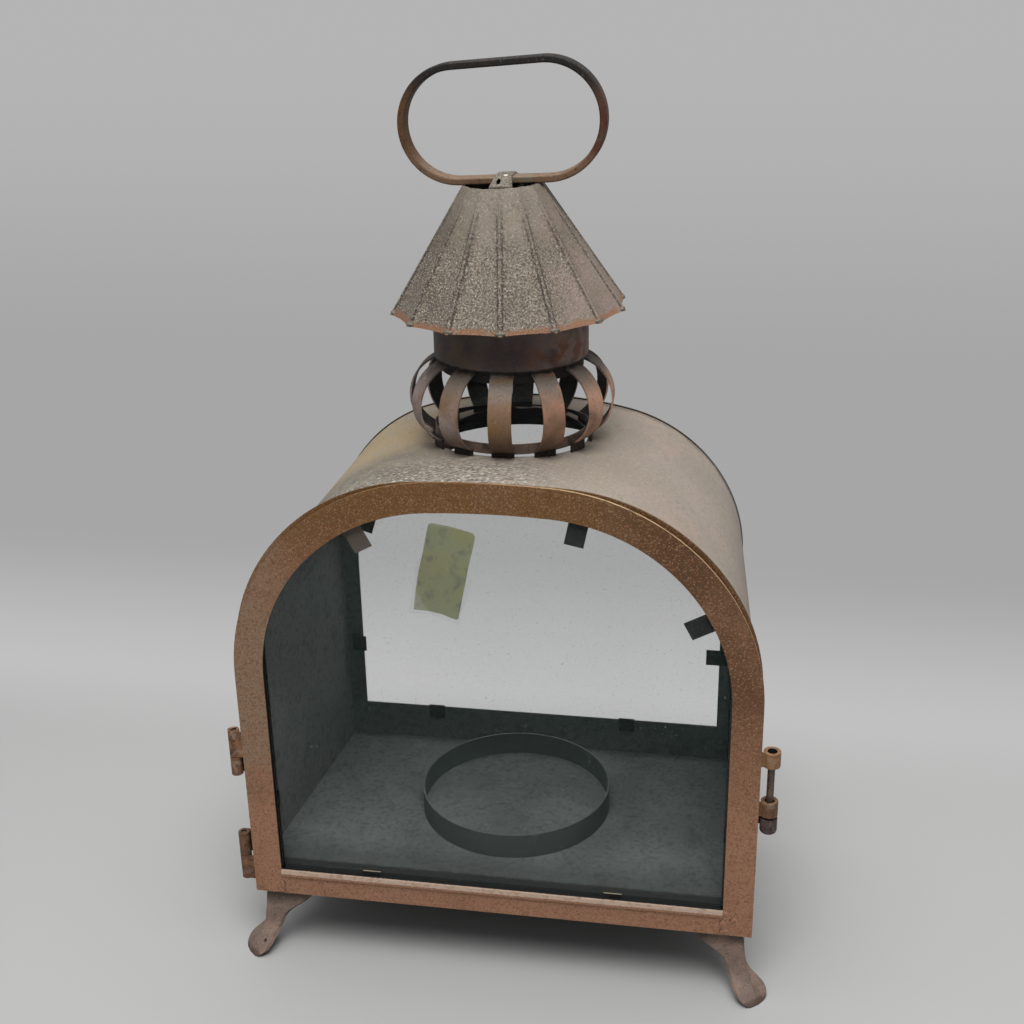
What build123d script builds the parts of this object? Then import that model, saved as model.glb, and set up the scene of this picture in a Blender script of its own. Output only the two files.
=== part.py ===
from build123d import *
import os
from math import asin, atan2, cos, pi, radians, sin, sqrt

os.makedirs("parts", exist_ok=True)

# Arch that the door, the rim and the front of the body share
door_width = 280.0
spring_rise = 140.0  # straight sides, from the door's bottom edge up to the springing
haunch_offset = 25.0  # centre of each haunch arc, from the middle
crown_radius = 500.0
depth = 152.0  # front of the door to the back of the body
leg_height = 40.5  # ground to the door's bottom edge

# Back of the body, narrower than the front and with a rounder arch
back_width = 248.0
back_haunch_offset = 35.0
back_crown_radius = 240.0
roof_rise = 1.3  # the crown of the roof rises this much from front to back
back_lap = 0.7  # the back panel reaches this far past the body's outside

# Body sheet metal
body_sheet = 1.0
door_lap = 3.0  # the door's face reaches this far past the body's outside
rim_lap = 2.0  # and so does the front rim, at its sides and its crown
rim_haunch_offset = 33.0  # the rim's haunches are fuller than the door's
rim_crown_radius = 700.0
rim_band = 6.5
rim_sheet = 1.2
back_sheet = 1.0
floor_rise = 17.0  # top of the floor above the door's bottom edge
floor_sheet = 1.0
solder_gap = 0.1  # seam between soldered pieces

# Back window
window_margin = 10.5  # back panel at each side of the window
window_head = 18.1  # back panel above the window
window_sill = 40.0
window_haunch_offset = 21.5
window_crown_radius = 152.0
back_glass_lap = 5.0
glass_thickness = 2.0

# Door
frame_band = 16.0
rail_height = 16.0
door_sheet = 1.5
door_gap = 1.5  # between the closed door and the front rim
rail_hem_height = 4.0
rail_hem = 1.0  # the folded hem stands this far in front of the rail
door_glass_lap = 6.0

# Folded tabs that hold the glass
tab_width = 10.0
tab_sheet = 0.8
tab_clearance = 0.6  # between a tab's foot and the edge of the glass
long_tab = 19.5  # reach over the glass
middle_tab = 13.0
short_tab = 7.5
left_stile_tab = 61.0  # above the door's bottom edge
right_stile_tab = 62.0
left_rail_tab = 72.0  # from the middle of the rail
right_rail_tab = 64.0
left_back_tab = 84.0  # above the door's bottom edge
right_back_tab = 90.0
left_sill_tab = 66.0  # from the middle of the back window's sill
right_sill_tab = 57.0

# Hinges and latch
pivot_depth = 4.0  # barrel axes behind the door's front
leaf_sheet = 0.9
leaf_reach = 7.0  # leaf under the door's band
leaf_wing = 13.0  # leaf along the body's wall
hinge_offset = 5.8  # barrel axis outside the door's edge
hinge_barrel_radius = 3.2
hinge_pin_radius = 1.5
hinge_fit = 0.05  # running clearance of the pin, on the radius
hinge_gap = 0.4  # between the two knuckles of a hinge
hinge_pin_recess = 0.6
upper_hinge_foot = 75.2  # above the door's bottom edge
upper_hinge_body = 11.6  # length of the body's knuckle
upper_hinge_door = 15.8
lower_hinge_foot = 6.8
lower_hinge_door = 15.1
lower_hinge_body = 14.3
latch_offset = 5.3
eye_radius = 4.5
eye_bore_radius = 2.6
latch_pin_radius = 1.9
latch_pin_tip = 0.6  # chamfer at both ends of the pin
socket_foot = 66.2
socket_length = 8.8
socket_cap = 2.0
socket_round = 1.8
lower_eye_foot = 76.8
eye_length = 8.4
eye_spacing = 29.7  # foot of the lower eye to foot of the upper one
latch_pin_lift = 0.8  # raised pin's end above the foot of the lower eye
latch_pin_length = 35.0

# Candle pan
pan_radius = 56.0
pan_height = 15.0
pan_sheet = 1.0
pan_x = -3.0
pan_y = 6.4

# Corner legs, from the top down: share of the leg's height, half width, fold and outward reach
leg_sheet = 2.4
leg_tuck = 12.0  # length of the leg hidden behind the body's skirt
leg_stations = [
    (1.00, 18.5, 18.5, 0.0),
    (0.95, 18.4, 18.4, 0.8),
    (0.87, 17.4, 17.2, 1.5),
    (0.76, 14.4, 13.2, 1.9),
    (0.64, 10.2, 9.2, 2.6),
    (0.50, 7.4, 6.8, 3.4),
    (0.36, 7.0, 5.8, 5.0),
    (0.22, 9.2, 3.8, 9.0),
    (0.10, 10.2, 2.0, 12.2),
    (0.03, 7.6, 1.0, 13.9),
    (0.00, 4.4, 0.5, 14.4),
]

# Chimney cage of bowed strips between two rings
chimney_x = -1.8  # chimney axis, a little to the left of the middle
chimney_y = 10.4  # and behind it
smoke_hole_radius = 41.0
strip_count = 12
strip_phase = 3.0  # degrees from the front towards the right
strip_width = 12.0
strip_sheet = 1.0
strip_bulge_radius = 55.1
strip_bulge_rise = 21.1  # widest level above the crown of the roof
strip_tuck = 7.0  # strip end inside the collar
strip_foot = 1.6  # upright end of a strip on the foot ring
foot_ring_radius = 42.2
foot_ring_height = 5.4
foot_ring_back = 0.6  # height left of the foot ring at its back, where its top slopes down
foot_ring_lift = 1.2  # above the crown of the roof
ring_sheet = 1.0
top_ring_drop = 6.5  # how far the upper ring shows under the collar
collar_radius = 41.3
collar_sheet = 1.0
collar_rise = 44.7  # bottom of the collar above the crown of the roof

# Fluted hat
hat_rise = 24.6  # hat's rim above the bottom of the collar
hat_height = 64.2
hat_rim_radius = 61.9
hat_top_radius = 20.6
hat_shift = -0.8  # middle of the hat's rim from the chimney axis
hat_top_shift = -3.2  # middle of the hat's top from the chimney axis
hat_sheet = 1.2
hat_seat = 0.3  # between the collar's top edge and the hat
flutes = 14
flute_phase = 6.0  # degrees from the front towards the right
ridge_width = 2.6
ridge_height = 1.1
top_ridge_width = 0.91  # the ridges fade towards the top
top_ridge_height = 0.385
flute_dip = 0.9
rim_lean = 1.0  # degrees that the hat's rim drops to the left
lean = 2.4  # degrees that its top and the handle lean to the left

# Carrying handle and its clip
handle_length = 107.0
handle_left_height = 60.3  # bent a little tighter at its left end
handle_right_height = 61.8
handle_strip = 3.7
handle_width = 10.5
handle_edge = 1.0
handle_seat = 0.1
handle_shift = 2.0  # middle of the handle to the right of the middle of the hat's top
clip_width = 12.0
clip_top_width = 8.4  # where it goes over the handle
clip_sheet = 1.0
clip_drop = 6.0
clip_hole_radius = 1.1
clip_hole_aside = 1.6  # to the left of the middle

# Levels and depths worked out from the sizes above
door_half = door_width / 2
sill = leg_height
spring = sill + spring_rise
rim_half = door_half - door_lap + rim_lap
back_half = back_width / 2
window_half = back_half - window_margin
front_y = -(depth + door_sheet + door_gap + rim_sheet - back_sheet) / 2  # body wrap centred on y = 0
door_back = front_y + door_sheet
rim_front = door_back + door_gap
rim_back = rim_front + rim_sheet
back_y = front_y + depth
back_front = back_y - back_sheet
pivot_y = front_y + pivot_depth


def save(piece, name):
    piece.label = name
    export_step(piece, f"parts/{name}.step")


def upright(y):
    """Plane across the lantern at depth y: local x to the right, local y up, facing the front."""
    return Plane.XZ.offset(-y)


def polar(radius, angle):
    return (radius * cos(angle), radius * sin(angle))


def crown_height(half, offset, crown):
    """Height of an arch above its springing."""
    return crown - sqrt((crown - half + offset) ** 2 - offset**2)


def arch_face(half, offset, crown, spring_z, inset, bottom):
    """Straight sides, a haunch arc on each and a flatter crown arc, all moved in by inset."""
    rise = crown_height(half, offset, crown)
    joint_lean = asin(offset / (crown - half + offset))
    middle = (pi / 2 - joint_lean) / 2
    haunch = half - offset - inset
    side = half - inset
    top = spring_z + rise - inset
    shoulder_x = offset + haunch * cos(middle)
    shoulder_z = spring_z + haunch * sin(middle)
    joint_x = offset + haunch * sin(joint_lean)
    joint_z = spring_z + haunch * cos(joint_lean)
    with BuildSketch() as face:
        with BuildLine():
            Line((side, bottom), (side, spring_z))
            ThreePointArc((side, spring_z), (shoulder_x, shoulder_z), (joint_x, joint_z))
            ThreePointArc((joint_x, joint_z), (0, top), (-joint_x, joint_z))
            ThreePointArc((-joint_x, joint_z), (-shoulder_x, shoulder_z), (-side, spring_z))
            Line((-side, spring_z), (-side, bottom))
            Line((-side, bottom), (side, bottom))
        make_face()
    return face.sketch


def door_arch(inset, bottom):
    return arch_face(door_half, haunch_offset, crown_radius, spring, inset, bottom)


def rim_arch(bottom):
    return arch_face(rim_half, rim_haunch_offset, rim_crown_radius, rim_spring, 0, bottom)


def back_arch(inset, bottom):
    return arch_face(back_half, back_haunch_offset, back_crown_radius, back_spring, inset, bottom)


def window_arch(inset, bottom):
    return arch_face(window_half, window_haunch_offset, window_crown_radius, window_spring, inset, bottom)


def body_block(inset, bottom):
    """Solid from the front arch to the back arch, moved in by inset from the body's outside."""
    with BuildPart() as block:
        with BuildSketch(upright(rim_back)):
            add(door_arch(door_lap + inset, bottom))
        with BuildSketch(upright(back_front)):
            add(back_arch(inset, bottom))
        loft(ruled=True)
    return block.part


def along_body(y, at_front, at_back):
    """Value at depth y of a size that changes evenly from the body's front to its back."""
    return at_front + (at_back - at_front) * (y - rim_back) / (back_front - rim_back)


def wall_half(y):
    """Half width of the body's outside at depth y."""
    return along_body(y, door_half - door_lap, back_half)


# Crown of the roof at the front, at the back and under the chimney
front_crown = spring + crown_height(door_half, haunch_offset, crown_radius) - door_lap
back_crown = front_crown + roof_rise
roof_top = along_body(chimney_y, front_crown, back_crown)

# Springing of the rim, of the back arch and of its window, down from their crowns
rim_spring = front_crown + rim_lap - crown_height(rim_half, rim_haunch_offset, rim_crown_radius)
back_spring = back_crown - crown_height(back_half, back_haunch_offset, back_crown_radius)
window_rise = crown_height(window_half, window_haunch_offset, window_crown_radius)
window_spring = back_crown - window_head - window_rise

# Body wrap: side walls and vaulted roof in one sheet, with the round smoke hole
with BuildPart() as body_wrap:
    add(body_block(0, sill))
    add(body_block(body_sheet, sill - body_sheet), mode=Mode.SUBTRACT)
    with BuildSketch(Plane.XY.offset(spring)):
        with Locations((chimney_x, chimney_y)):
            Circle(smoke_hole_radius)
    extrude(amount=max(front_crown, back_crown) - spring + body_sheet, mode=Mode.SUBTRACT)
save(body_wrap.part, "body_wrap")

# Front rim: flat arched ring that the door closes on
rim_inset = door_lap - rim_lap
with BuildPart() as front_rim:
    with BuildSketch(upright(rim_back)):
        add(rim_arch(sill + rim_inset))
        add(door_arch(rim_inset + rim_band, sill + rim_inset + rim_band), mode=Mode.SUBTRACT)
    extrude(amount=rim_sheet)
save(front_rim.part, "front_rim")

# Back panel with its arched window
with BuildPart() as back_panel:
    with BuildSketch(upright(back_y)):
        add(back_arch(-back_lap, sill))
        add(window_arch(0, sill + window_sill), mode=Mode.SUBTRACT)
    extrude(amount=back_sheet)
save(back_panel.part, "back_panel")

# Back glass, behind the window on the inside
with BuildPart() as back_glass:
    with BuildSketch(upright(back_front)):
        add(window_arch(-back_glass_lap, sill + window_sill - back_glass_lap))
    extrude(amount=glass_thickness)
save(back_glass.part, "back_glass")


def floor_corners(inset):
    """Corners of the floor's plan moved in by inset: right front, right back, left back, left front."""
    front = rim_back + solder_gap + inset
    back = back_front - solder_gap - inset
    front_half = wall_half(front) - body_sheet - solder_gap - inset
    rear_half = wall_half(back) - body_sheet - solder_gap - inset
    return [(front_half, front), (rear_half, back), (-rear_half, back), (-front_half, front)]


def floor_plan(inset):
    with BuildSketch() as plan:
        with BuildLine():
            Polyline(*floor_corners(inset), close=True)
        make_face()
    return plan.sketch


# Floor: raised sheet with a turned-down skirt all round
with BuildPart() as floor_tray:
    with BuildSketch(Plane.XY.offset(sill)):
        add(floor_plan(0))
    extrude(amount=floor_rise)
    with BuildSketch(Plane.XY.offset(sill)):
        add(floor_plan(floor_sheet))
    extrude(amount=floor_rise - floor_sheet, mode=Mode.SUBTRACT)
save(floor_tray.part, "floor_tray")

# Candle pan: low round cup standing on the floor
floor_top = sill + floor_rise
with BuildPart() as candle_pan:
    with BuildSketch(Plane.XY.offset(floor_top)):
        with Locations((pan_x, pan_y)):
            Circle(pan_radius)
    extrude(amount=pan_height)
    with BuildSketch(Plane.XY.offset(floor_top + pan_sheet)):
        with Locations((pan_x, pan_y)):
            Circle(pan_radius - pan_sheet)
    extrude(amount=pan_height - pan_sheet, mode=Mode.SUBTRACT)
save(candle_pan.part, "candle_pan")

# Door frame: one band up the left stile, over the arch and down the right stile
with BuildPart() as door_arch_frame:
    with BuildSketch(upright(door_back)):
        add(door_arch(0, sill))
        add(door_arch(frame_band, sill - frame_band), mode=Mode.SUBTRACT)
    extrude(amount=door_sheet)
save(door_arch_frame.part, "door_arch_frame")

# Door bottom rail between the stiles, its top edge folded forward as a hem
rail_length = door_width - 2 * (frame_band + solder_gap)
with BuildPart() as door_bottom_rail:
    with BuildSketch(upright(door_back)):
        with Locations((0, sill + rail_height / 2)):
            Rectangle(rail_length, rail_height)
    extrude(amount=door_sheet)
    with BuildSketch(upright(front_y)):
        with Locations((0, sill + rail_height - rail_hem_height / 2)):
            Rectangle(rail_length, rail_hem_height)
    extrude(amount=rail_hem)
save(door_bottom_rail.part, "door_bottom_rail")

# Door glass, lapped by the frame and the rail
door_glass_inset = frame_band - door_glass_lap
door_glass_foot = sill + rail_height - door_glass_lap
with BuildPart() as door_glass:
    with BuildSketch(upright(door_back + glass_thickness)):
        add(door_arch(door_glass_inset, door_glass_foot))
    extrude(amount=glass_thickness)
save(door_glass.part, "door_glass")


def glass_tabs(places, seat_y, facing):
    """Folded strips: a foot on the sheet at seat_y, just outside the glass, and a tongue over the glass."""
    with BuildPart() as tabs:
        for edge_x, edge_z, outward, reach in places:
            seat = Plane(
                origin=(edge_x, seat_y, edge_z),
                x_dir=(sin(radians(outward)), 0, cos(radians(outward))),
                z_dir=(0, facing, 0),
            )
            with BuildSketch(seat):
                with Locations((tab_clearance + tab_sheet / 2, 0)):
                    Rectangle(tab_sheet, tab_width)
            extrude(amount=glass_thickness + tab_sheet)
            with BuildSketch(seat.offset(glass_thickness)):
                with Locations(((tab_clearance + tab_sheet - reach) / 2, 0)):
                    Rectangle(tab_clearance + tab_sheet + reach, tab_width)
            extrude(amount=tab_sheet)
    return tabs.part


def on_haunch(half, offset, spring_z, side, outward):
    """Point of a haunch arc that faces outward degrees from straight up."""
    radius = half - offset
    return (
        side * offset + radius * sin(radians(outward)),
        spring_z + radius * cos(radians(outward)),
        outward,
    )


# Tabs of the door glass: three long ones on the arch, short ones on the stiles and the rail
door_glass_half = door_half - door_glass_inset
door_glass_haunch = (door_glass_half, haunch_offset, spring)
door_tab_places = [
    (*on_haunch(*door_glass_haunch, -1, -28), long_tab),
    (*on_haunch(*door_glass_haunch, 1, 12), long_tab),
    (*on_haunch(*door_glass_haunch, 1, 62), long_tab),
    (-door_glass_half, sill + left_stile_tab, -90, short_tab),
    (door_glass_half, sill + right_stile_tab, 90, short_tab),
    (-left_rail_tab, door_glass_foot, 180, short_tab),
    (right_rail_tab, door_glass_foot, 180, short_tab),
]
save(glass_tabs(door_tab_places, door_back, 1), "door_glass_tabs")

# Tabs of the back glass
back_glass_half = window_half + back_glass_lap
back_glass_foot = sill + window_sill - back_glass_lap
back_glass_haunch = (back_glass_half, window_haunch_offset, window_spring)
back_tab_places = [
    (*on_haunch(*back_glass_haunch, -1, -22), middle_tab),
    (*on_haunch(*back_glass_haunch, -1, -72), middle_tab),
    (-back_glass_half, sill + left_back_tab, -90, short_tab),
    (back_glass_half, sill + right_back_tab, 90, middle_tab),
    (-left_sill_tab, back_glass_foot, 180, short_tab),
    (right_sill_tab, back_glass_foot, 180, short_tab),
]
save(glass_tabs(back_tab_places, back_front, -1), "back_glass_tabs")


def knuckle(side, offset, radius, bore, low, high, on_door):
    """Barrel at the left (-1) or right (1) of the door, with a leaf to the door or to the body's wall."""
    axis_x = side * (door_half + offset)
    web_front = pivot_y + radius - leaf_sheet
    wing_back = web_front + leaf_wing
    with BuildPart() as piece:
        with BuildSketch(Plane.XY.offset(low)):
            with Locations((axis_x, pivot_y)):
                Circle(radius)
            if on_door:
                leaf_end = side * (door_half - leaf_reach)
                with Locations(((axis_x + leaf_end) / 2, door_back + leaf_sheet / 2)):
                    Rectangle(abs(axis_x - leaf_end), leaf_sheet)
            else:
                foot = wall_half(web_front) + solder_gap
                wing_end = wall_half(wing_back) + solder_gap
                with Locations((side * (foot + abs(axis_x)) / 2, web_front + leaf_sheet / 2)):
                    Rectangle(abs(axis_x) - foot, leaf_sheet)
                with BuildLine():
                    Polyline(
                        (side * foot, web_front),
                        (side * (foot + leaf_sheet), web_front),
                        (side * (wing_end + leaf_sheet), wing_back),
                        (side * wing_end, wing_back),
                        close=True,
                    )
                make_face()
            with Locations((axis_x, pivot_y)):
                Circle(bore, mode=Mode.SUBTRACT)
        extrude(amount=high - low)
    return piece.part


def round_pin(side, offset, radius, low, high, tip):
    """Plain pin on a barrel's axis with chamfered ends."""
    with BuildPart() as pin:
        with BuildSketch(Plane.XY.offset(low)):
            with Locations((side * (door_half + offset), pivot_y)):
                Circle(radius)
        extrude(amount=high - low)
        chamfer(pin.edges().filter_by(GeomType.CIRCLE), length=tip)
    return pin.part


def hinge(name, foot, door_first, lower_length, upper_length):
    """Two knuckles one above the other and the pin in them."""
    split = foot + lower_length
    top = split + hinge_gap + upper_length
    bore = hinge_pin_radius + hinge_fit
    place = (-1, hinge_offset, hinge_barrel_radius, bore)
    low_side, high_side = ("door", "body") if door_first else ("body", "door")
    save(knuckle(*place, foot, split, door_first), f"{name}_{low_side}_knuckle")
    save(knuckle(*place, split + hinge_gap, top, not door_first), f"{name}_{high_side}_knuckle")
    low = foot + hinge_pin_recess
    high = top - hinge_pin_recess
    pin = round_pin(-1, hinge_offset, hinge_pin_radius, low, high, hinge_pin_radius / 4)
    save(pin, f"{name}_pin")


# Hinges on the left: the upper one carries the door, the lower one keeps it from lifting off
hinge("upper_hinge", sill + upper_hinge_foot, False, upper_hinge_body, upper_hinge_door)
hinge("lower_hinge", sill + lower_hinge_foot, True, lower_hinge_door, lower_hinge_body)

# Latch on the right: two eyes on the door, the pin raised in them, and the socket on the body below
eye_foot = sill + lower_eye_foot
latch_place = (1, latch_offset, eye_radius, eye_bore_radius)
save(knuckle(*latch_place, eye_foot, eye_foot + eye_length, True), "latch_lower_eye")
upper_eye_foot = eye_foot + eye_spacing
save(knuckle(*latch_place, upper_eye_foot, upper_eye_foot + eye_length, True), "latch_upper_eye")
pin_foot = eye_foot + latch_pin_lift
pin_top = pin_foot + latch_pin_length
save(round_pin(1, latch_offset, latch_pin_radius, pin_foot, pin_top, latch_pin_tip), "latch_pin")

socket_low = sill + socket_foot
with BuildPart() as latch_socket:
    with BuildSketch(Plane.XY.offset(socket_low)):
        with Locations((door_half + latch_offset, pivot_y)):
            Circle(eye_radius)
    extrude(amount=socket_cap)
    fillet(latch_socket.edges().group_by(Axis.Z)[0], radius=min(socket_round, 0.9 * socket_cap))
    add(knuckle(*latch_place, socket_low + socket_cap, socket_low + socket_length, False))
save(latch_socket.part, "latch_socket")


def leg_section(corner, along_end, along_side, half_width, fold, reach):
    """Folded sheet from above, its two wings along the end and the side of the floor's skirt."""
    outward = (along_end + along_side) * (-1 / sqrt(2))
    sideways = (along_end - along_side) * (1 / sqrt(2))
    outline = [
        (reach, 0),
        (reach - fold, half_width),
        (reach - fold - leg_sheet, half_width),
        (reach - leg_sheet, 0),
        (reach - fold - leg_sheet, -half_width),
        (reach - fold, -half_width),
    ]
    with BuildSketch() as section:
        with BuildLine():
            Polyline(*[corner + outward * out + sideways * aside for out, aside in outline], close=True)
        make_face()
    return section.sketch


def corner_leg(corner, along_end, along_side):
    """Sheet folded into the floor's skirt, narrowed to a waist and flattened out to a spoon foot."""
    sections = [
        (share * leg_height, leg_section(corner, along_end, along_side, *shape))
        for share, *shape in leg_stations
    ]
    with BuildPart() as leg:
        for height, section in sections:
            with BuildSketch(Plane.XY.offset(height)):
                add(section)
        loft()
        top_height, top_section = sections[0]
        with BuildSketch(Plane.XY.offset(top_height)):
            add(top_section)
        extrude(amount=leg_tuck)
    return leg.part


# Four corner legs inside the floor's skirt
leg_names = ["leg_front_right", "leg_back_right", "leg_back_left", "leg_front_left"]
leg_corners = [Vector(*corner) for corner in floor_corners(floor_sheet + solder_gap)]
for i, (name, corner) in enumerate(zip(leg_names, leg_corners)):
    across = leg_corners[3 - i] - corner
    lengthwise = leg_corners[(1, 0, 3, 2)[i]] - corner
    save(corner_leg(corner, across.normalized(), lengthwise.normalized()), name)

# Levels of the chimney
foot_ring_low = roof_top + foot_ring_lift
foot_ring_high = foot_ring_low + foot_ring_height
collar_low = roof_top + collar_rise
collar_bore = collar_radius - collar_sheet
strip_top_radius = sqrt(collar_bore**2 - (strip_width / 2) ** 2) - solder_gap


def band_ring(radius, low, high):
    """Upright ring of strip metal about the chimney's axis."""
    with BuildPart() as ring:
        with BuildSketch(Plane.XY.offset(low)):
            with Locations((chimney_x, chimney_y)):
                Circle(radius)
                Circle(radius - ring_sheet, mode=Mode.SUBTRACT)
        extrude(amount=high - low)
    return ring.part


# Rings inside the ends of the strips
top_ring_radius = strip_top_radius - strip_sheet - solder_gap
foot_ring_fall = foot_ring_height - foot_ring_back
foot_slope = Plane((chimney_x, chimney_y, foot_ring_high), (1, 0, 0), (0, foot_ring_fall, foot_ring_radius))
with BuildPart() as foot_ring:
    add(band_ring(foot_ring_radius, foot_ring_low, foot_ring_high))
    split(bisect_by=foot_slope, keep=Keep.BOTTOM)
save(foot_ring.part, "chimney_foot_ring")
save(band_ring(top_ring_radius, collar_low - top_ring_drop, collar_low + strip_tuck), "chimney_top_ring")


def bow_middle(bulge, end):
    """Halfway point of the arc that leaves the bulge upright and runs to the end point."""
    rise = end[1] - bulge[1]
    inward = bulge[0] - end[0]
    radius = (rise**2 + inward**2) / (2 * inward)
    half_turn = atan2(abs(rise), radius - inward) / 2
    middle_rise = radius * sin(half_turn) * (1 if rise > 0 else -1)
    return (bulge[0] - radius + radius * cos(half_turn), bulge[1] + middle_rise)


def bowed_strip(angle):
    """One flat strip: up inside the collar, bowed out between the rings, and down to the roof."""
    outward = (sin(radians(angle)), -cos(radians(angle)), 0)
    face_way = (-cos(radians(angle)), -sin(radians(angle)), 0)
    bow_top = (strip_top_radius - strip_sheet, collar_low - 2 * strip_sheet)
    bow_foot = (foot_ring_radius + solder_gap, foot_ring_low + strip_foot)
    bulge = (strip_bulge_radius - strip_sheet, roof_top + strip_bulge_rise)
    with BuildPart() as strip:
        with BuildSketch(Plane(origin=(chimney_x, chimney_y, 0), x_dir=outward, z_dir=face_way)):
            with BuildLine():
                Line((bow_top[0], collar_low + strip_tuck), bow_top)
                ThreePointArc(bow_top, bow_middle(bulge, bow_top), bulge)
                ThreePointArc(bulge, bow_middle(bulge, bow_foot), bow_foot)
                Line(bow_foot, (bow_foot[0], roof_top - 6 * strip_sheet))
                offset(amount=strip_sheet, side=Side.LEFT, kind=Kind.INTERSECTION)
            make_face()
        extrude(amount=strip_width / 2, both=True)
        add(body_block(-solder_gap, sill), mode=Mode.SUBTRACT)
    return strip.part


# Bowed strips round the cage
for i in range(strip_count):
    save(bowed_strip(strip_phase + i * 360 / strip_count), f"chimney_strip_{i + 1:02d}")


def leaning(x, z, degrees):
    """Plane across the chimney at this point, dropping to the left by so many degrees."""
    turn = radians(degrees)
    return Plane(
        origin=(x, chimney_y, z),
        x_dir=(cos(turn), 0, sin(turn)),
        z_dir=(-sin(turn), 0, cos(turn)),
    )


# Levels of the hat
hat_low = collar_low + hat_rise
hat_base = leaning(chimney_x + hat_shift, hat_low, rim_lean)
hat_top = leaning(chimney_x + hat_top_shift, hat_low + hat_height, lean)
flute_step = 2 * pi / flutes


def fluted_face(radius, width, height, inset):
    """Ring of shallow hollow panels with a round ridge between each two."""
    half_ridge = width / 2 / radius
    hollow = radius * cos(flute_step / 2) - flute_dip * radius / hat_rim_radius - inset
    edge = radius - inset
    first = radians(flute_phase - 90)
    with BuildSketch() as face:
        with BuildLine():
            for i in range(flutes):
                ridge = first + i * flute_step
                start = polar(edge, ridge - half_ridge)
                end = polar(edge, ridge + half_ridge)
                following = polar(edge, ridge + flute_step - half_ridge)
                ThreePointArc(start, polar(edge + height, ridge), end)
                ThreePointArc(end, polar(hollow, ridge + flute_step / 2), following)
        make_face()
    return face.sketch


def fluted_block(inset):
    """Solid cone from the hat's rim to its top, moved in by inset."""
    with BuildPart() as block:
        with BuildSketch(hat_base):
            add(fluted_face(hat_rim_radius, ridge_width, ridge_height, inset))
        with BuildSketch(hat_top):
            add(fluted_face(hat_top_radius, top_ridge_width, top_ridge_height, inset))
        loft(ruled=True)
    return block.part


# Hat: fluted cone of one sheet, open at the top
with BuildPart() as hat_cone:
    add(fluted_block(0))
    add(fluted_block(hat_sheet), mode=Mode.SUBTRACT)
save(hat_cone.part, "hat_cone")


def hat_inside(radius):
    """Largest round radius that fits inside the hat where its outside has this radius."""
    return radius * cos(flute_step / 2) - flute_dip * radius / hat_rim_radius - hat_sheet


# Collar: round flue from the cage up to where it meets the inside of the hat
seat_rim = hat_inside(hat_rim_radius) - hat_seat
seat_top = hat_inside(hat_top_radius) - hat_seat
seat_low = seat_rim + hat_rise * 2 * (seat_rim - seat_top) / hat_height
seat_shift = hat_shift - 2 * hat_rise * (hat_top_shift - hat_shift) / hat_height
with BuildPart() as chimney_collar:
    with BuildSketch(Plane.XY.offset(collar_low)):
        with Locations((chimney_x, chimney_y)):
            Circle(collar_radius)
            Circle(collar_bore, mode=Mode.SUBTRACT)
    extrude(amount=hat_rise + hat_height / 2 + collar_radius * sin(radians(lean)))
    with BuildSketch(leaning(chimney_x + seat_shift, hat_low - 2 * hat_rise, rim_lean)):
        Circle(seat_low)
    with BuildSketch(hat_top):
        Circle(seat_top)
    loft(ruled=True, mode=Mode.INTERSECT)
save(chimney_collar.part, "chimney_collar")


def handle_face(inset):
    """Two end arcs that stand on the lower run, and the upper run between them, moved in by inset."""
    left = handle_left_height / 2
    right = handle_right_height / 2
    left_x = left - handle_length / 2
    right_x = handle_length / 2 - right
    slope = atan2(right - left, right_x - left_x)
    top = pi / 2 + 2 * slope
    left_end = Vector(left_x, left)
    right_end = Vector(right_x, right)
    with BuildSketch() as face:
        with BuildLine():
            Line((left_x, inset), (right_x, inset))
            ThreePointArc(
                (right_x, inset),
                right_end + polar(right - inset, slope),
                right_end + polar(right - inset, top),
            )
            Line(right_end + polar(right - inset, top), left_end + polar(left - inset, top))
            ThreePointArc(
                left_end + polar(left - inset, top),
                left_end + polar(left - inset, pi + slope),
                (left_x, inset),
            )
        make_face()
    return face.sketch


# Handle: one strip bent to a long ring, its lower run lying across the hat's open top
handle_foot = hat_top.origin + hat_top.x_dir * handle_shift
handle_front = Plane(origin=handle_foot, x_dir=hat_top.x_dir, z_dir=(0, -1, 0))
with BuildPart() as handle_strap:
    with BuildSketch(handle_front):
        with Locations((0, handle_seat)):
            add(handle_face(0))
            add(handle_face(handle_strip), mode=Mode.SUBTRACT)
    extrude(amount=handle_width / 2, both=True)
    fillet(handle_strap.faces().filter_by(Axis.Y).edges(), radius=min(handle_edge, handle_strip / 2.5))
save(handle_strap.part, "handle_strap")

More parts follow.
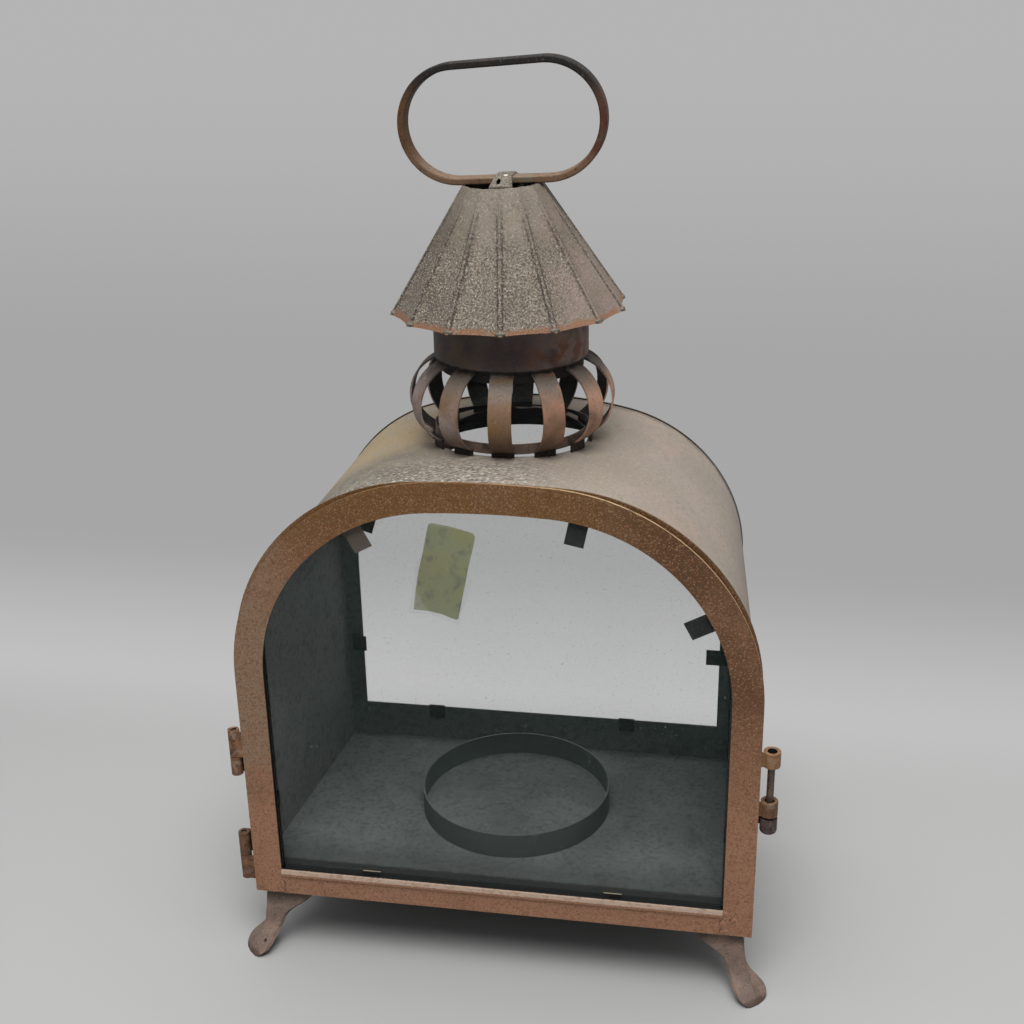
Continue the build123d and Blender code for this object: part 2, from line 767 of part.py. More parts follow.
# Clip: strap from inside the hat's front edge, narrowed over the handle's lower run, to the back edge
clip_corner = clip_width / 2 + abs(handle_shift)
clip_seat = sqrt(hat_inside(hat_top_radius) ** 2 - clip_corner**2) - clip_sheet - solder_gap
clip_grip = handle_width / 2 + solder_gap
clip_rise = handle_seat + handle_strip + solder_gap
clip_top = clip_rise + clip_sheet
with BuildPart() as handle_clip:
    with BuildSketch(Plane(origin=handle_foot, x_dir=(0, 1, 0), z_dir=hat_top.x_dir)):
        with BuildLine():
            Polyline(
                (-clip_seat, -clip_drop),
                (-clip_seat, 0),
                (-clip_grip, clip_rise),
                (clip_grip, clip_rise),
                (clip_seat, 0),
                (clip_seat, -clip_drop),
            )
            offset(amount=clip_sheet, side=Side.LEFT, kind=Kind.INTERSECTION)
        make_face()
    extrude(amount=clip_width / 2, both=True)
    with BuildSketch(handle_front):
        with BuildLine():
            Polyline(
                (-clip_width / 2, -clip_drop),
                (clip_width / 2, -clip_drop),
                (clip_width / 2, 0),
                (clip_top_width / 2, clip_top),
                (-clip_top_width / 2, clip_top),
                (-clip_width / 2, 0),
                close=True,
            )
        make_face()
    extrude(amount=clip_seat + 2 * clip_sheet, both=True, mode=Mode.INTERSECT)
    with BuildSketch(handle_front):
        with Locations((-clip_hole_aside, clip_top / 2)):
            Circle(clip_hole_radius)
    extrude(amount=clip_seat + 2 * clip_sheet, mode=Mode.SUBTRACT)
save(handle_clip.part, "handle_clip")
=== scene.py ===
import math

import bmesh
import bpy
from mathutils import Matrix, Vector


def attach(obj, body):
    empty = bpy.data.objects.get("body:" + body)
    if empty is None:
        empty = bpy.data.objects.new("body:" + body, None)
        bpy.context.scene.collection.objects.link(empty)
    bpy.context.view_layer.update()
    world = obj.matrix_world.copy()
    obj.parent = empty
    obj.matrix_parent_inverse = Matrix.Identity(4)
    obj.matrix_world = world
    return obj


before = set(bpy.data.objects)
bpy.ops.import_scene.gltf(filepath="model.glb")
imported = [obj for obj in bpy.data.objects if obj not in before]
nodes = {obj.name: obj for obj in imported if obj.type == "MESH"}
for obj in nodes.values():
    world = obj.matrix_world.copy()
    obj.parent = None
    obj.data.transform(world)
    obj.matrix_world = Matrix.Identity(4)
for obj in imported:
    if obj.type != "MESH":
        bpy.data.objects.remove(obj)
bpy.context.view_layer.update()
scene = bpy.context.scene
scene.view_settings.view_transform = "Standard"
mm = 0.001
noiseLow, noiseHigh = 0.3, 0.7  # most noise lies between these levels
print("frame:", len(nodes), "nodes")


def linear(hexColour):
    parts = [int(hexColour[i:i + 2], 16) / 255 for i in (1, 3, 5)]
    return [p / 12.92 if p <= 0.04045 else ((p + 0.055) / 1.055) ** 2.4 for p in parts] + [1.0]


def addNode(tree, kind, feeds=None, **settings):
    node = tree.nodes.new("ShaderNode" + kind)
    for name, value in settings.items():
        setattr(node, name, value)
    for socket, value in (feeds or {}).items():
        if isinstance(value, bpy.types.NodeSocket):
            tree.links.new(value, node.inputs[socket])
        else:
            node.inputs[socket].default_value = value
    return node


def newMaterial(name):
    material = bpy.data.materials.new(name)
    material.use_nodes = True
    material.node_tree.nodes.clear()
    return material, material.node_tree


def wear(nodeNames, material):
    for nodeName in nodeNames:
        for slot in nodes[nodeName].material_slots:
            slot.material = material


def addPiece(name, mesh, material, body, smooth=True):
    data = bpy.data.meshes.new(name)
    mesh.to_mesh(data)
    mesh.free()
    data.materials.append(material)
    if smooth:
        data.shade_smooth()
    piece = bpy.data.objects.new(name, data)
    scene.collection.objects.link(piece)
    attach(piece, body)


# Camera, where the photographer stood
view = {
    "place": (129.3, -716.5, 546.7),  # mm
    "yaw": -10.33,  # degrees, towards the left
    "pitch": 22.15,  # looking down
    "roll": 1.11,
    "focal": 1426.88,  # pixels of a picture 1024 wide
    "width": 1024,
    "sensor": 36,  # mm
}


def addCamera():
    yaw, pitch, roll = (math.radians(view[k]) for k in ("yaw", "pitch", "roll"))
    ahead = Vector((math.sin(yaw) * math.cos(pitch), math.cos(yaw) * math.cos(pitch), -math.sin(pitch)))
    right = Vector((math.cos(yaw), -math.sin(yaw), 0))
    down = ahead.cross(right)
    tiltedRight = right * math.cos(roll) + down * math.sin(roll)
    tiltedDown = down * math.cos(roll) - right * math.sin(roll)
    data = bpy.data.cameras.new("camera")
    data.sensor_width = view["sensor"]
    data.lens = view["focal"] / view["width"] * data.sensor_width
    camera = bpy.data.objects.new("camera", data)
    turn = Matrix((tiltedRight, -tiltedDown, -ahead)).transposed().to_4x4()
    camera.matrix_world = Matrix.Translation(Vector(view["place"]) * mm) @ turn
    scene.collection.objects.link(camera)
    scene.camera = camera


addCamera()
print("camera set")

# Pale sweep and soft light, as in a small photo tent
stage = {
    "halfWidth": 2.6,  # metres
    "front": -1.9,
    "back": 0.75,
    "bend": 0.5,
    "top": 2.8,
    "bendSteps": 16,
    "paper": "#b6b6b5",
    "mottle": "#a9a9a8",
    "mottleSize": 0.4,  # metres
    "mottleCover": 0.08,
    "fold": (0.12, 0.25),  # along y plus z in metres, where the far part fades into a painted glow that camera, glossy and transmission rays see in place of the lit sheet
    "paintedShadeTones": ["#c1c1c1", "#a6a6a6", "#b4b4b4"],  # painted shading of the glowing far part, from the floor up
    "paintedShadeRuns": [(0.2, 0.52), (1.0, 1.65)],
}
lamps = {
    "tent": {"place": (0.0, -0.1, 1.6), "aim": (0, 0, 0.2), "size": 1.7, "watts": 14},
    "front": {"place": (0.1, -0.75, 1.5), "aim": (0, 0, 0.2), "size": 0.8, "watts": 13},
}
worldLight = {"colour": "#c8cacb", "horizon": 0.05, "zenith": 0.8, "rise": (0.1, 0.9)}


def paperMaterial():
    # Matt backdrop paper, a little mottled by handling; its far part is a painted glow, shaded lighter near
    # the floor, darker at mid height and lighter again higher up
    material, tree = newMaterial("backdropPaper")
    place = addNode(tree, "TexCoord").outputs["Object"]
    cloud = addNode(tree, "TexNoise", {"Vector": place, "Scale": 1 / stage["mottleSize"], "Detail": 3})
    shade = addNode(tree, "MapRange", {"Value": cloud.outputs["Fac"], 1: noiseLow, 2: noiseHigh, 3: 0.0,
                                       4: stage["mottleCover"]})
    colour = addNode(tree, "Mix", {0: shade.outputs[0], 6: linear(stage["paper"]),
                                   7: linear(stage["mottle"])}, data_type="RGBA")
    sheet = addNode(tree, "BsdfPrincipled", {"Base Color": colour.outputs[2], "Roughness": 0.9})
    parts = addNode(tree, "SeparateXYZ", {0: place})
    along = addNode(tree, "Math", {0: parts.outputs["Y"], 1: parts.outputs["Z"]},
                    operation="ADD").outputs[0]
    tone = linear(stage["paintedShadeTones"][0])
    for (start, end), tint in zip(stage["paintedShadeRuns"], stage["paintedShadeTones"][1:]):
        share = addNode(tree, "MapRange", {"Value": along, 1: start, 2: end},
                        interpolation_type="SMOOTHSTEP").outputs[0]
        tone = addNode(tree, "Mix", {0: share, 6: tone, 7: linear(tint)}, data_type="RGBA").outputs[2]
    # Painted glow: the far part shines in these painted shading tones though it is no lamp
    paintedGlow = addNode(tree, "Emission", {"Color": tone})
    ray = addNode(tree, "LightPath").outputs
    seen = ray["Is Camera Ray"]
    for kind in ("Is Glossy Ray", "Is Transmission Ray"):
        seen = addNode(tree, "Math", {0: seen, 1: ray[kind]}, operation="MAXIMUM").outputs[0]
    far = addNode(tree, "MapRange", {"Value": along, 1: stage["fold"][0], 2: stage["fold"][1]},
                  interpolation_type="SMOOTHSTEP").outputs[0]
    share = addNode(tree, "Math", {0: far, 1: seen}, operation="MULTIPLY").outputs[0]
    shader = addNode(tree, "MixShader", {0: share, 1: sheet.outputs[0], 2: paintedGlow.outputs[0]})
    addNode(tree, "OutputMaterial", {"Surface": shader.outputs[0]})
    return material


def addStage():
    sweep = bmesh.new()
    ends = [sweep.verts.new((x * stage["halfWidth"], stage["front"], 0)) for x in (-1, 1)]
    edge = [sweep.edges.new(ends)]
    run = bmesh.ops.extrude_edge_only(sweep, edges=edge)["geom"]
    bmesh.ops.translate(sweep, vec=(0, stage["back"] - stage["front"], 0),
                        verts=[g for g in run if isinstance(g, bmesh.types.BMVert)])
    edge = [g for g in run if isinstance(g, bmesh.types.BMEdge)
            and abs(g.verts[0].co.y - g.verts[1].co.y) < 1e-6]
    turn = bmesh.ops.spin(sweep, geom=edge, cent=(0, stage["back"], stage["bend"]), axis=(1, 0, 0),
                          angle=math.pi / 2, steps=stage["bendSteps"])["geom_last"]
    edge = [g for g in turn if isinstance(g, bmesh.types.BMEdge)]
    run = bmesh.ops.extrude_edge_only(sweep, edges=edge)["geom"]
    bmesh.ops.translate(sweep, vec=(0, 0, stage["top"] - stage["bend"]),
                        verts=[g for g in run if isinstance(g, bmesh.types.BMVert)])
    bmesh.ops.recalc_face_normals(sweep, faces=sweep.faces)
    data = bpy.data.meshes.new("paperSweep")
    sweep.to_mesh(data)
    sweep.free()
    data.materials.append(paperMaterial())
    data.shade_smooth()
    paper = bpy.data.objects.new("paperSweep", data)
    scene.collection.objects.link(paper)
    for name, lamp in lamps.items():
        light = bpy.data.lights.new(name, "AREA")
        light.shape = "DISK"
        light.size = lamp["size"]
        light.energy = lamp["watts"]
        holder = bpy.data.objects.new(name, light)
        holder.location = lamp["place"]
        aim = Vector(lamp["aim"]) - Vector(lamp["place"])
        holder.rotation_euler = aim.to_track_quat("-Z", "Y").to_euler()
        scene.collection.objects.link(holder)
    world = bpy.data.worlds.new("tent")
    world.use_nodes = True
    tree = world.node_tree
    background = tree.nodes["Background"]
    background.inputs["Color"].default_value = linear(worldLight["colour"])
    way = addNode(tree, "SeparateXYZ", {0: addNode(tree, "TexCoord").outputs["Generated"]})
    low, high = worldLight["rise"]
    strength = addNode(tree, "MapRange", {"Value": way.outputs["Z"], 1: low, 2: high,
                                          3: worldLight["horizon"], 4: worldLight["zenith"]})
    tree.links.new(strength.outputs[0], background.inputs["Strength"])
    scene.world = world


addStage()
print("stage set")


# Tin with a brushed-on, speckled finish: layers of paint, grain, dirt and painted light and shade over a
# base coat.
# A layer's size is its grain in mm and its cover the two noise levels between which it comes in.
# Its zones are directions, or fields, with the two distances in mm between which it fades in,
# and its facing does the same with the way that the surface faces.
grainNoise = {"Detail": 2.5, "Roughness": 0.55}
tinDefaults = {
    "ragged": 14,  # mm that the ends of the zones wander
    "grit": 1.0,  # mm
    "gritHeight": 0.5,
    "depth": 0.12,  # mm of relief
    "metallic": 0.0,
}
insideLimit = -0.0005  # below this a surface faces the middle
spotCore = 0.6  # share of a spot's radius that is solid


def layPaint(tree, layers, colour, height, fields, only=None):
    for layer in layers:
        spot = fields["place"]
        if "stretch" in layer:
            spot = addNode(tree, "VectorMath", {0: spot, 1: layer["stretch"]},
                           operation="MULTIPLY").outputs[0]
        grain = addNode(tree, "TexNoise", {"Vector": spot, "Scale": 1 / (layer["size"] * mm), **grainNoise})
        low, high = layer["cover"]
        share = addNode(tree, "MapRange", {"Value": grain.outputs["Fac"], 1: low, 2: high, 3: 0.0,
                                           4: layer.get("amount", 1.0)},
                        interpolation_type="SMOOTHSTEP").outputs[0]
        limits = [(way, start * mm, end * mm, "ragged") for way, start, end in layer.get("zones", [])]
        limits += [(way, start, end, "normal") for way, start, end in layer.get("facing", [])]
        for way, start, end, source in limits:
            if way in fields:
                along = fields[way]
            else:
                along = addNode(tree, "VectorMath", {0: fields[source], 1: way},
                                operation="DOT_PRODUCT").outputs["Value"]
            inZone = addNode(tree, "MapRange", {"Value": along, 1: start, 2: end},
                             interpolation_type="SMOOTHSTEP").outputs[0]
            share = addNode(tree, "Math", {0: share, 1: inZone}, operation="MULTIPLY").outputs[0]
        if only:
            share = addNode(tree, "Math", {0: share, 1: only}, operation="MULTIPLY").outputs[0]
        colour = addNode(tree, "Mix", {0: share, 6: colour, 7: linear(layer["tint"])},
                         data_type="RGBA").outputs[2]
        if "relief" in layer:
            height = addNode(tree, "Math", {0: share, 1: layer["relief"], 2: height},
                             operation="MULTIPLY_ADD").outputs[0]
    return colour, height


def tinFinish(name, look, ownFields=None):
    look = {**tinDefaults, **look}
    material, tree = newMaterial(name)
    place = addNode(tree, "TexCoord").outputs["Object"]
    normal = addNode(tree, "NewGeometry").outputs["Normal"]
    spread = look["ragged"] * mm
    wander = addNode(tree, "TexNoise", {"Vector": place, "Scale": 1 / spread, "Detail": 3})
    centred = addNode(tree, "VectorMath", {0: wander.outputs["Color"], 1: [0.5] * 3},
                      operation="SUBTRACT")
    ragged = addNode(tree, "VectorMath", {0: centred.outputs[0], 1: [spread] * 3, 2: place},
                     operation="MULTIPLY_ADD").outputs[0]
    fields = {"place": place, "normal": normal, "ragged": ragged}
    for field, build in (ownFields or {}).items():
        fields[field] = build(tree, place, normal)
    colour, height = layPaint(tree, look["layers"], linear(look["base"]), 0.0, fields)
    if "inside" in look:
        inside = look["inside"]
        offset = addNode(tree, "VectorMath", {0: place, 1: [c * mm for c in inside["centre"]]},
                         operation="SUBTRACT")
        away = addNode(tree, "VectorMath", {0: offset.outputs[0], 1: inside["way"]}, operation="MULTIPLY")
        facing = addNode(tree, "VectorMath", {0: away.outputs[0], 1: normal}, operation="DOT_PRODUCT")
        isInside = addNode(tree, "Math", {0: facing.outputs["Value"], 1: insideLimit},
                           operation="LESS_THAN").outputs[0]
        colour = addNode(tree, "Mix", {0: isInside, 6: colour, 7: linear(inside["base"])},
                         data_type="RGBA").outputs[2]
        colour, height = layPaint(tree, inside["layers"], colour, height, fields, only=isInside)
    for centre, radius, tint in look.get("spots", []):
        gap = addNode(tree, "VectorMath", {0: place, 1: [c * mm for c in centre]}, operation="DISTANCE")
        share = addNode(tree, "MapRange", {"Value": gap.outputs["Value"], 1: radius * mm,
                                           2: radius * spotCore * mm}).outputs[0]
        colour = addNode(tree, "Mix", {0: share, 6: colour, 7: linear(tint)}, data_type="RGBA").outputs[2]
    grit = addNode(tree, "TexNoise", {"Vector": place, "Scale": 1 / (look["grit"] * mm), "Detail": 3})
    height = addNode(tree, "Math", {0: grit.outputs["Fac"], 1: look["gritHeight"], 2: height},
                     operation="MULTIPLY_ADD").outputs[0]
    bump = addNode(tree, "Bump", {"Height": height, "Strength": 1.0, "Distance": look["depth"] * mm})
    low, high = look["roughness"]
    rough = addNode(tree, "MapRange", {"Value": grit.outputs["Fac"], 1: noiseLow, 2: noiseHigh, 3: low,
                                       4: high}).outputs[0]
    shader = addNode(tree, "BsdfPrincipled", {"Base Color": colour, "Roughness": rough,
                                              "Metallic": look["metallic"], "Normal": bump.outputs[0]})
    addNode(tree, "OutputMaterial", {"Surface": shader.outputs[0]})
    return material


# Layers that the inside of the tin shares: soot, near-black painted shade along the shut-in front, and near
# black under the crown
sootAndShadeLayers = [
    {"tint": "#5b5e5e", "size": 34, "cover": (0.38, 0.64), "amount": 0.45},
    {"tint": "#3b3d3d", "size": 12, "cover": (0.5, 0.7), "amount": 0.3},
    {"tint": "#363838", "size": 3, "cover": (0.5, 0.64), "amount": 0.35},
    {"tint": "#8f9492", "size": 1.8, "cover": (0.6, 0.72), "amount": 0.35},
    # Painted shade: near black along the front, where the door shuts the inside in
    {"tint": "#0b0a0a", "size": 20, "cover": (0.1, 0.3), "amount": 0.97, "zones": [((0, -1, 0), 66, 69)]},
    {"tint": "#0b0a0a", "size": 20, "cover": (0.1, 0.3), "amount": 0.95, "zones": [((0, 0, 1), 258, 270)]},
]

# Which way round an edge of the arch faces: 1 away from the middle of the door, -1 towards it
archMiddle = (0, 0, 140)  # mm


def outwardField(tree, place, normal):
    middle = [c * mm for c in archMiddle]
    offset = addNode(tree, "VectorMath", {0: place, 1: middle}, operation="SUBTRACT")
    flat = addNode(tree, "VectorMath", {0: offset.outputs[0], 1: (1, 0, 1)}, operation="MULTIPLY")
    way = addNode(tree, "VectorMath", {0: flat.outputs[0]}, operation="NORMALIZE")
    along = addNode(tree, "VectorMath", {0: way.outputs[0], 1: normal}, operation="DOT_PRODUCT")
    return along.outputs["Value"]


# Copper-coloured paint of the door: golden at the crown, pinker low down, finely stippled red-brown and
# cream, with a painted highlight along the right of its outer edge, painted shade on its right haunch and
# on the inner edges round the glass
outerEdge = [("outward", 0.35, 0.6)]
innerEdge = [("outward", -0.35, -0.6)]
# Painted highlight: the outer edge on the right made pale, as where it catches the light
paintedEdgeHighlight = {"tint": "#c4a780", "size": 5, "cover": (0.25, 0.45), "amount": 0.75,
              "zones": [((1, 0, 0), -30, 60)], "facing": outerEdge}
brownEdge = {"tint": "#5d4527", "size": 5, "cover": (0.2, 0.4), "amount": 0.9, "facing": outerEdge}
# Painted shade: near black on the inner edges that face the glass
paintedInnerEdgeShade = {"tint": "#1c1613", "size": 5, "cover": (0.1, 0.3), "amount": 0.95, "facing": innerEdge}
doorPaint = [
    {"tint": "#755125", "size": 40, "cover": (0.2, 0.45), "amount": 0.95, "zones": [((0, 0, 1), 235, 275)]},
    {"tint": "#a6785c", "size": 40, "cover": (0.2, 0.5), "amount": 0.95,
     "zones": [((0, 0, -1), -170, -90)]},
    {"tint": "#937a63", "size": 30, "cover": (0.25, 0.5), "amount": 0.75,
     "zones": [((-1, 0, 0), 95, 125), ((0, 0, 1), 95, 130)]},
    # Painted shade: a darker band along the right haunch
    {"tint": "#5f3f22", "size": 30, "cover": (0.2, 0.45), "amount": 0.9,
     "zones": [((1, 0, 0.4), 150, 200), ((0, 0, 1), 150, 200)]},
    {"tint": "#987861", "size": 22, "cover": (0.52, 0.68), "amount": 0.12},
    {"tint": "#7c3f28", "size": 2.2, "cover": (0.52, 0.66), "amount": 0.34},
    {"tint": "#4c3220", "size": 0.95, "cover": (0.51, 0.61), "amount": 0.45, "relief": -0.5},
    {"tint": "#b08a6a", "size": 0.85, "cover": (0.56, 0.64), "amount": 0.6, "relief": 0.4},
    {"tint": "#d9c3a2", "size": 0.8, "cover": (0.69, 0.74), "amount": 0.7, "relief": 0.6},
]
doorFinish = {
    "base": "#875f42",
    "roughness": (0.5, 0.75),
    "metallic": 0.1,
    "depth": 0.12,
    "inside": {"centre": (0, 0, 0), "way": (0, 1, 0), "base": "#3a342f", "layers": sootAndShadeLayers},
    "layers": doorPaint + [paintedEdgeHighlight, paintedInnerEdgeShade],
}

# The rail has the door's paint, with a painted highlight along its hem and near-black painted shade on its
# top faces
litHemZone = [((0, 0, 1), 53.7, 54.2), ((0, -1, 0), 77.3, 77.7)]
railFinish = dict(doorFinish, ragged=1, layers=doorFinish["layers"] + [
    # Painted shade: near black on the faces that look up, the dark line above the rail
    {"tint": "#0b0908", "size": 5, "cover": (0.1, 0.3), "amount": 0.97, "facing": [((0, 0, 1), 0.5, 0.9)]},
    # Painted highlight along the top of the front face, where the hem catches the light
    {"tint": "#d2b8a5", "size": 8, "cover": (0.2, 0.45), "amount": 0.9, "zones": litHemZone},
    {"tint": "#b39377", "size": 3, "cover": (0.5, 0.65), "amount": 0.7, "zones": litHemZone},
])

# The rim behind the door: the same paint, its outer edge brown, its inner edges near black with painted
# shade
rimFinish = dict(doorFinish, layers=doorPaint + [brownEdge, paintedInnerEdgeShade])

# Limewashed roof sheet, smooth and greige: ochre on the left, pink on the right, frosted grain at the front
# of the crown, dark brown at the front of the haunches just behind the door, and painted light on the faces
# that look right
roofFinish = {
    "base": "#94887c",
    "roughness": (0.7, 0.9),
    "depth": 0.15,
    "inside": {"centre": (0, 0, 180), "way": (1, 0, 1), "base": "#6c6b69", "layers": sootAndShadeLayers},
    "layers": [
        {"tint": "#a2968b", "size": 70, "cover": (0.3, 0.65), "zones": [((1, 0, 0), 20, 90)]},
        {"tint": "#a88f82", "size": 35, "cover": (0.5, 0.68), "amount": 0.7,
         "zones": [((1, 0, 0), 40, 110)]},
        {"tint": "#716a5c", "size": 40, "cover": (0.2, 0.5), "amount": 0.85,
         "zones": [((-1, 0, 0), 10, 60)]},
        {"tint": "#b49c74", "size": 40, "cover": (0.2, 0.5), "amount": 0.65,
         "zones": [((-1, 0, 0), 30, 60), ((0, 1, 0), -22, 8), ((0, 0, 1), 100, 220)]},
        {"tint": "#958d7c", "size": 14, "cover": (0.45, 0.65), "amount": 0.5},
        # Painted light: faces that look right made paler than the light leaves them
        {"tint": "#b8aca1", "size": 40, "cover": (0.1, 0.3), "amount": 0.5,
         "facing": [((1, 0, 0), 0.55, 0.95)]},
        {"tint": "#8a7f74", "size": 3, "cover": (0.5, 0.68), "amount": 0.35},
        {"tint": "#55504a", "size": 1.5, "cover": (0.48, 0.57), "amount": 0.8, "relief": -0.7,
         "stretch": (0.6, 1, 1),
         "zones": [((0, -1, 0), 10, 54), ((-1, 0, 0), -55, 5), ((0, 0, 1), 205, 250)]},
        {"tint": "#d9d5cd", "size": 1.4, "cover": (0.55, 0.64), "amount": 0.72, "relief": 0.7,
         "stretch": (0.6, 1, 1),
         "zones": [((0, -1, 0), 22, 66), ((-1, 0, 0), -50, 5), ((0, 0, 1), 215, 255)]},
        {"tint": "#6a5d50", "size": 1.8, "cover": (0.55, 0.68), "amount": 0.28},
        {"tint": "#bdb1a4", "size": 1.6, "cover": (0.56, 0.68), "amount": 0.3},
        {"tint": "#b8ab72", "size": 8, "cover": (0.3, 0.5), "amount": 0.6,
         "zones": [((0, -1, 0), 60, 70), ((1, 0, 0), 96, 112)]},
        {"tint": "#4b3f2c", "size": 7, "cover": (0.25, 0.5), "amount": 0.92,
         "zones": [((0, -1, 0), 64, 71), ((1, 0, 0), 62, 100)]},
        {"tint": "#4b4232", "size": 9, "cover": (0.3, 0.55), "amount": 0.8,
         "zones": [((0, -1, 0), 67, 72), ((-1, 0, 0), 62, 100)]},
        {"tint": "#6e6152", "size": 9, "cover": (0.25, 0.5), "amount": 0.6,
         "zones": [((0, 1, 0), 68, 72.5)]},
    ],
    "spots": [((67.4, -52.9, 293), 1.3, "#2c2722")],
    "ragged": 8,
}

# The back sheet: the same limewash outside with a dark folded edge and painted shade on its inner edges
# round the glass, soot inside
backFinish = {
    "base": "#968a7e",
    "roughness": (0.7, 0.9),
    "depth": 0.15,
    "inside": {"centre": (0, 0, 0), "way": (0, 1, 0), "base": "#565959", "layers": sootAndShadeLayers},
    "layers": [
        {"tint": "#a5958a", "size": 60, "cover": (0.35, 0.6)},
        {"tint": "#877a62", "size": 40, "cover": (0.5, 0.68), "amount": 0.7,
         "zones": [((-1, 0, 0), -60, 60)]},
        {"tint": "#7b6f62", "size": 12, "cover": (0.52, 0.68), "amount": 0.5},
        {"tint": "#5b5146", "size": 1.6, "cover": (0.58, 0.7), "amount": 0.6, "relief": -0.5},
        {"tint": "#cfc7bb", "size": 1.3, "cover": (0.64, 0.73), "amount": 0.6, "relief": 0.5},
        {"tint": "#544a40", "size": 6, "cover": (0.1, 0.35), "amount": 0.9, "facing": outerEdge},
        # Painted shade: near black on the inner edges that face the glass
        {"tint": "#2a2622", "size": 6, "cover": (0.1, 0.35), "amount": 0.9, "facing": innerEdge},
    ],
}

# Grey sooted sheet of the floor and the pan: paler where it lies flat, dust and painted light together;
# painted shade on upright faces, near black underneath and dark along the front
innerFinish = {
    "base": "#525555",
    "roughness": (0.75, 0.95),
    "layers": [
        # Dust and painted light: paler on faces that look up
        {"tint": "#686c6b", "size": 45, "cover": (0.25, 0.6), "amount": 0.9,
         "facing": [((0, 0, 1), 0.5, 0.9)]},
    ] + sootAndShadeLayers + [
        # Painted shade: darker on upright faces
        {"tint": "#3c3e3e", "size": 30, "cover": (0.1, 0.3), "amount": 0.8,
         "facing": [((0, 0, 1), 0.6, 0.2), ((0, 0, -1), 0.6, 0.2)]},
        # Painted shade: near black on faces that look down
        {"tint": "#141414", "size": 30, "cover": (0.1, 0.3), "facing": [((0, 0, -1), 0.5, 0.9)]},
        # Painted shade: dark on the front of the floor, just behind the rail
        {"tint": "#242424", "size": 30, "cover": (0.1, 0.4), "amount": 0.55,
         "zones": [((0, -1, 0), 38, 64)]},
    ],
    "ragged": 3,
}

# Tabs over the glass, painted black for the shade they show against the light, brown on the left, with a
# painted highlight on the cut edges that face up over the rail
tabFinish = {
    "base": "#161616",
    "roughness": (0.6, 0.85),
    "layers": [
        {"tint": "#242322", "size": 6, "cover": (0.45, 0.65)},
        {"tint": "#5a4d44", "size": 12, "cover": (0.1, 0.35),
         "zones": [((-1, 0, 0), 40, 50), ((0, 0, 1), 200, 220)]},
        # Painted highlight on the upward cut edges over the rail
        {"tint": "#a3967c", "size": 8, "cover": (0.1, 0.35), "zones": [((0, 0, -1), -68, -66)],
         "facing": [((0, 0, 1), 0.5, 0.9)]},
    ],
}

# Rough-cast finish of the hat: greige at the top, dark and pale grains low down and along the ridges, the
# dark beside the ridges partly dirt and partly painted crevice shade, copper showing on the rim
hatFinish = {
    "base": "#7a7065",
    "roughness": (0.7, 0.92),
    "depth": 0.3,
    "ragged": 6,
    "inside": {"centre": (-3.5, 10.4, 0), "way": (1, 1, 0), "base": "#1a1816",
               "layers": [{"tint": "#2a2623", "size": 9, "cover": (0.45, 0.65)}]},
    "layers": [
        {"tint": "#83796d", "size": 18, "cover": (0.4, 0.65)},
        {"tint": "#5c5348", "size": 12, "cover": (0.25, 0.6), "amount": 0.75,
         "zones": [((-1, 0, 0), 12, 40)]},
        {"tint": "#8d7a71", "size": 16, "cover": (0.35, 0.6), "amount": 0.8, "zones": [((1, 0, 0), 8, 34)]},
        {"tint": "#7b7260", "size": 14, "cover": (0.5, 0.7), "amount": 0.6},
        {"tint": "#4a4138", "size": 1.0, "cover": (0.47, 0.56), "amount": 0.75, "relief": -0.8,
         "zones": [((0, 0, -1), -413, -396), ((-1, 0, 0), -44, -20)]},
        # Dark grains near the ridges: dirt with painted crevice shade
        {"tint": "#4a4138", "size": 1.0, "cover": (0.46, 0.54), "amount": 0.5, "relief": -0.6,
         "zones": [("ridge", 4.5, 2.0), ((0, 0, -1), -420, -408), ((-1, 0, 0), -52, -30)]},
        {"tint": "#b9b0a0", "size": 0.9, "cover": (0.55, 0.63), "amount": 0.8, "relief": 0.7,
         "zones": [((0, 0, -1), -410, -392), ((-1, 0, 0), -50, -20)]},
        # Dark lines beside each ridge: dirt with painted crevice shade
        {"tint": "#332c26", "size": 1.6, "cover": (0.38, 0.52), "amount": 0.75, "relief": -0.6,
         "zones": [("ridge", 0.75, 1.05), ("ridge", 2.0, 1.5), ((0, 0, -1), -422, -412)]},
        {"tint": "#564c42", "size": 1.3, "cover": (0.54, 0.66), "amount": 0.5, "relief": -0.4},
        {"tint": "#a79c8d", "size": 1.2, "cover": (0.56, 0.66), "amount": 0.45, "relief": 0.4},
        {"tint": "#8c6246", "size": 6, "cover": (0.25, 0.5), "amount": 0.85,
         "zones": [((0.0175, 0, -1), -366.6, -365.2)]},
    ],
}

# The clip on the handle, rough-cast all over, with a pale spot and a near-black spot at its top
clipFinish = dict(hatFinish, layers=[
    {"tint": "#7f766a", "size": 6, "cover": (0.4, 0.6)},
    {"tint": "#453d35", "size": 1.0, "cover": (0.47, 0.58), "amount": 0.7, "relief": -0.8},
    {"tint": "#bdb4a4", "size": 0.9, "cover": (0.57, 0.66), "amount": 0.6, "relief": 0.7},
], spots=[((-1.9, 4.7, 432.4), 1.4, "#d9d4c2"), ((0.0, 4.7, 432.0), 0.9, "#16120f")])
ridges = {"count": 14, "first": 6.0, "middle": (-2.6, 10.4, 363.35), "top": (-5.0, 10.4, 427.55)}


